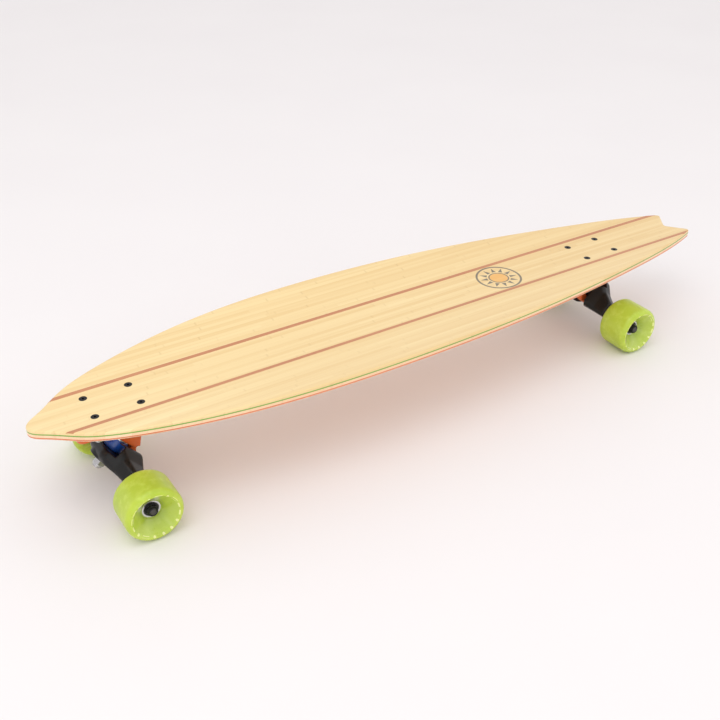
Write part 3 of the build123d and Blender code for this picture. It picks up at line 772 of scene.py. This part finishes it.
depth = 0.0
for ply_name, thickness in ply_table.items():
    across, down = (11, 9) if ply_name in ("top_ply", "bottom_ply") else (6, 5)
    piece = link(f"{ply_name}_board", ply_mesh(ply_name, depth, thickness, across, down))
    if ply_name == "top_ply":
        cut_bolt_holes(piece)
    settle(piece, "root", [ply_name], 60.0)
    depth += thickness


def stringer_mesh():
    """Two thin strips that follow the top face: x runs between the points where the outline crosses
    each strip edge, and the height is the curl's less the rail's drop near the edge."""
    grids = []
    shares = (1 - np.cos(np.linspace(0.0, math.pi, 160))) / 2
    lanes = np.linspace(stringer_inner, stringer_outer, 5)
    side = outline[outline[:, 0] > -half_length + 2.0]
    rising = side[:, 0]
    x_ends = []
    for lane in lanes:
        over = np.nonzero(side[:, 1] > lane)[0]
        x_ends.append((rising[over[-1]] + 0.25, rising[over[0]] - 0.25))
    x_ends = np.array(x_ends)
    x = x_ends[None, :, 0] * (1 - shares[:, None]) + x_ends[None, :, 1] * shares[:, None]
    y = np.broadcast_to(lanes, x.shape)
    gap = np.sqrt(((np.stack([x, y], axis=-1)[..., None, :] - outline) ** 2).sum(axis=-1)).min(axis=-1)
    over = np.clip(top_round - gap, 0.0, top_round)
    top = curl(y) - (top_round - np.sqrt(top_round**2 - over**2)) + stringer_proud
    for sign in (1.0, -1.0):
        upper = np.stack([x, y * sign, top], axis=-1)
        lower = np.stack([x, y * sign, top - stringer_depth], axis=-1)[:, ::-1]
        grids.append(np.concatenate([upper, lower], axis=1) * mm)
    mesh = grid_mesh("stringers", grids, wrap_columns=True)
    work = bmesh.new()
    work.from_mesh(mesh)
    bmesh.ops.holes_fill(work, edges=[edge for edge in work.edges if edge.is_boundary])
    bmesh.ops.recalc_face_normals(work, faces=work.faces)
    work.to_mesh(mesh)
    work.free()
    return mesh


settle(link("stringer_strips", stringer_mesh()), "root", ["stringers"], 50.0)

# ------------------------------------------------------------------ wheels

wheel_outer = 49.4          # outer face from the inner face, at the lip
wheel_radius = 34.5
lip_start = 28.0            # where the dish meets the lip
lip_depth = 8.0
back_start = 26.5           # where the inner face meets its lip
dish_start = (12.5, 34.0)   # radius and height where the dish leaves the bearing's mouth
dish_swell = 4.2
back_stop = 16.1            # where the inner face's hollow ends, beside the bearing
back_hollow = 6.0


def wheel_profile():
    """Radius and distance from the inner face, in mm, round the closed section of a wheel.

    The bore holds two bearing seats with a narrower middle. The dish is a low swell beside the mouth,
    then a cone that meets the lip at a crisp edge. Both lips are quarter ellipses.
    """
    bore = [(15.0, 8.0), (11.0, 8.0), (11.0, 16.0), (9.6, 16.0), (9.6, 26.0), (11.0, 26.0), (11.0, 33.0)]
    mouth = [(11.9, 33.25), dish_start]
    share = np.linspace(0.0, 1.0, 20)[1:]
    reach = dish_start[0] + (lip_start - dish_start[0]) * share
    cone = wheel_outer - dish_start[1] - dish_swell
    rise = dish_start[1] + dish_swell * (1 - (1 - share) ** 3) + cone * share**1.4
    dish = np.stack([reach, rise], axis=1)
    turn = np.linspace(0.0, math.pi / 2, 14)
    lip_x = lip_start + (wheel_radius - lip_start) * np.sin(turn)
    lip = np.stack([lip_x, wheel_outer - lip_depth * (1 - np.cos(turn))], axis=1)[1:]
    tread_y = np.linspace(wheel_outer - lip_depth, lip_depth, 9)[1:-1]
    tread = np.stack([np.full(len(tread_y), wheel_radius), tread_y], axis=1)
    back_x = back_start + (wheel_radius - back_start) * np.cos(turn)
    back_lip = np.stack([back_x, lip_depth * (1 - np.sin(turn))], axis=1)
    back_share = np.linspace(0.0, 1.0, 18)[1:]
    hollow_x = back_start - (back_start - back_stop) * back_share
    back = np.stack([hollow_x, back_hollow * back_share**2.2], axis=1)
    face = len(bore) + len(mouth) + len(dish) + len(lip)
    return np.concatenate([bore, mouth, dish, lip, tread, back_lip, back]), face


def wheel_mesh(name, centre, side, steps=144):
    """A turned wheel with a map: turns round it, and the radius over map_radius on its outer face."""
    profile, face = wheel_profile()
    grid = turned(centre, (0.0, side, 0.0), profile, steps)
    turns = np.broadcast_to(np.arange(steps) / steps, grid.shape[:2])
    reach = np.where(np.arange(len(profile)) < face, profile[:, 0] / map_radius, 1.0)
    reach = np.broadcast_to(reach[:, None], grid.shape[:2])
    mesh = grid_mesh(name, [grid], wrap_rows=True, wrap_columns=True, uv=np.stack([turns, reach], axis=-1))
    weld(mesh)
    return mesh


def washer_grid(centre, direction, inner, outer, start, stop, ease):
    """A ring about an axis with eased edges."""
    profile = eased([(inner, start), (outer, start), (outer, stop), (inner, stop)], ease)
    return turned(centre, direction, profile)


for end in ends:
    for side_name, side in sides.items():
        node = f"{end}_{side_name}_wheel"
        low, high = corners(node)
        centre = (low + high) / 2
        centre[1] = low[1] if side > 0 else high[1]
        piece = link(f"{node}_cast", wheel_mesh(node, centre, side))
        settle(piece, node, [node], 30.0)

# ------------------------------------------------------- hangers, baseplates

skin_cell = 0.0009          # metres, the size of the skin's small faces


def cast_copy(node, name, passes, body):
    """A cast part's skin: the frame node's mesh, merged, laid over with even small faces and eased,
    so that its edges are rounded as castings are."""
    piece = link(name, nodes[node].data.copy())
    weld(piece.data, 0.00001, False)
    remesh = piece.modifiers.new("skin", "REMESH")
    remesh.mode = "VOXEL"
    remesh.voxel_size = skin_cell
    smooth = piece.modifiers.new("ease", "SMOOTH")
    smooth.factor = 0.5
    smooth.iterations = passes
    apply_modifiers(piece)
    return settle(piece, body, [node], 80.0)


for end in ends:
    cast_copy(f"{end}_hanger", f"{end}_hanger_casting", 9, f"{end}_hanger")
    cast_copy(f"{end}_baseplate", f"{end}_baseplate_casting", 4, "root")

# ------------------------------------------------------------ turned pieces

steer_angle = math.radians(50.0)    # the steering axis above the horizontal
rake = 4.0                  # axle to the steering axis, along the kingpin
ring_reach = 24.0           # axle to the kingpin, along the steering axis
web_offset = -3.0           # the ring's web from the steering axis, along the kingpin
kingpin_bore = 4.95
kingpin_nut_start = 15.0    # from the web, along the kingpin
axle_nut_start = 99.0       # from the middle line
# inner and outer radius, start and stop along the kingpin from the web, and the eased edge
rings = {
    "board_washer": (kingpin_bore, 12.5, -20.0, -18.0, 0.4),
    "road_washer": (kingpin_bore, 10.7, 13.0, 15.0, 0.5),
    "board_bushing": (kingpin_bore, 13.0, -18.0, -4.0, 1.3),
}
cone = eased([(kingpin_bore, 4.0), (13.0, 4.0), (10.5, 13.0), (kingpin_bore, 13.0)], 0.9)

for end, facing in ends.items():
    low, high = corners(f"{end}_stub_axles")
    axle = (low + high) / 2
    pin = np.array([facing * math.sin(steer_angle), 0.0, -math.cos(steer_angle)])
    axis = np.array([facing * math.cos(steer_angle), 0.0, math.sin(steer_angle)])
    web = axle + (axis * ring_reach + pin * (web_offset - rake)) * mm
    nut_place = web + pin * kingpin_nut_start * mm
    nut = nut_grid(nut_place, pin, flats=14.3, length=8.5, bore=4.8, collar=6.5)
    turned_piece(f"{end}_kingpin_lock_nut", [nut], "root", f"{end}_kingpin_nut")
    for ring_name, (inner, outer, start, stop, ease) in rings.items():
        ring = washer_grid(web, pin, inner, outer, start, stop, ease)
        turned_piece(f"{end}_{ring_name}_turned", [ring], "root", f"{end}_{ring_name}")
    turned_piece(f"{end}_road_bushing_turned", [turned(web, pin, cone)], "root", f"{end}_road_bushing")
    axle_nuts = []
    for side in sides.values():
        out = np.array([0.0, side, 0.0])
        nut_place = axle + out * axle_nut_start * mm
        axle_nuts.append(nut_grid(nut_place, out, flats=12.7, length=6.0, bore=4.0, collar=5.9))
    turned_piece(f"{end}_axle_lock_nuts", axle_nuts, f"{end}_hanger", f"{end}_axle_nuts")

# ------------------------------------------------- floor, light and camera

floor_half = 40.0
floor_gap = 0.0002          # metres under the wheels, which otherwise share a plane with it
floor_line = np.array([-floor_half, floor_half])
floor_y, floor_x = np.meshgrid(floor_line, floor_line, indexing="ij")
floor_grid = np.stack([floor_x, floor_y, np.full((2, 2), cad_low[2] - floor_gap)], axis=-1)
floor = link("studio_floor", grid_mesh("studio_floor", [floor_grid]))
floor.data.materials.append(floor_finish())
if floor.data.polygons[0].normal.z < 0:
    floor.data.flip_normals()


def soft_light(name, place, target, size, power, tint):
    """A square studio light that faces its target."""
    data = bpy.data.lights.new(name, "AREA")
    data.size = size
    data.energy = power
    data.color = tint
    lamp = bpy.data.objects.new(name, data)
    bpy.context.collection.objects.link(lamp)
    lamp.location = place
    lamp.rotation_euler = (Vector(target) - Vector(place)).to_track_quat("-Z", "Y").to_euler()
    return lamp


soft_light("key_light", (0.9, 0.5, 2.1), (0.0, 0.0, 0.05), 1.5, 10.5, (1.0, 0.985, 0.97))
soft_light("fill_light", (-1.6, 1.4, 1.3), (0.0, 0.0, 0.05), 1.6, 3.4, (1.0, 0.98, 0.99))
soft_light("low_light", (1.5, 1.9, 0.5), (0.3, 0.0, 0.05), 1.0, 3.2, (1.0, 1.0, 1.0))

world = bpy.data.worlds.new("studio_air")
bpy.context.scene.world = world
world.use_nodes = True
world.node_tree.nodes["Background"].inputs[0].default_value = (1.0, 0.985, 0.988, 1.0)
world.node_tree.nodes["Background"].inputs[1].default_value = 0.945

camera_data = bpy.data.cameras.new("studio_camera")
camera_data.lens = 47.61    # mm, on a sensor 36 mm wide
camera_data.sensor_width = 36.0
camera_data.clip_start = 0.01
camera_data.clip_end = 150.0
camera = bpy.data.objects.new("studio_camera", camera_data)
bpy.context.collection.objects.link(camera)
camera_place = (0.6405, 0.903, 0.747)
# a unit direction from the object back to the camera, then the camera's right and above
back = Vector((0.4474, 0.7133, 0.5395)).normalized()
right = Vector((0.0, 0.0, 1.0)).cross(back).normalized()
above = back.cross(right)
turn = Matrix((right, above, back)).transposed().to_4x4()
camera.matrix_world = Matrix.Translation(camera_place) @ turn
bpy.context.scene.camera = camera
bpy.context.scene.view_settings.view_transform = "Standard"
